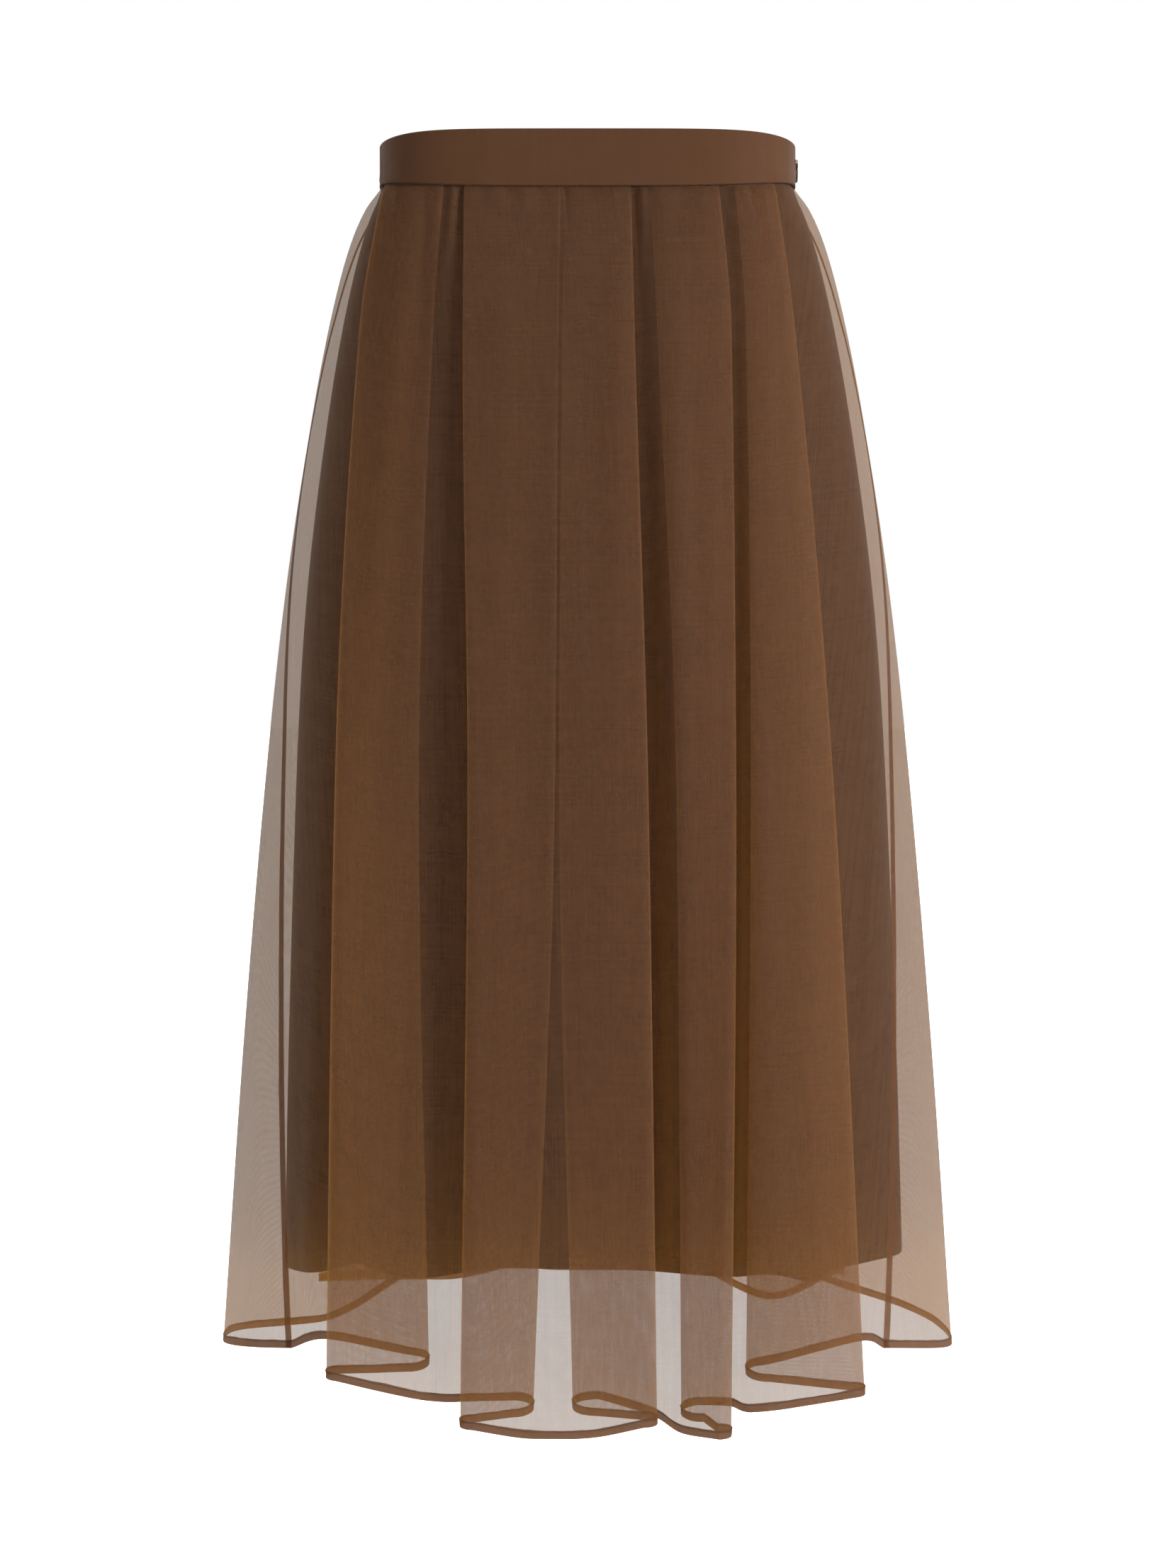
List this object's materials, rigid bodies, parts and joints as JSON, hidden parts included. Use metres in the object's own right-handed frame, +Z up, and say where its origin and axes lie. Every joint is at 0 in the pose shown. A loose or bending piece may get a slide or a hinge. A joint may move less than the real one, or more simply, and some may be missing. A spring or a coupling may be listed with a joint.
{
  "type": "pleated midi skirt with sheer overskirt",
  "caption": "Pleated midi skirt: a sheer pleated overskirt over a shorter opaque lining, on a straight waistband that buttons at the side.",
  "frame": {"origin": "centre of the waistband's ring, half way up the band", "axes": "+Z up, the front of the skirt faces -Y, the wearer's left side is +X"},
  "size_m": [0.4733, 0.3999, 0.8],
  "materials": {
    "waistband": "opaque woven cloth, folded and edge stitched, matt with a soft sheen",
    "sheer_cloth": "sheer plain weave that light passes through, a little crisp, narrow stitched hem",
    "lining": "opaque light plain weave, smooth and matt",
    "button": "dark horn look, polished"
  },
  "bodies": {
    "root": {"waistband_front": "waistband", "waistband_back": "waistband", "overskirt_front": "sheer_cloth", "overskirt_back": "sheer_cloth", "lining_front": "lining", "lining_back": "lining", "button": "button"}
  },
  "joints": []
}
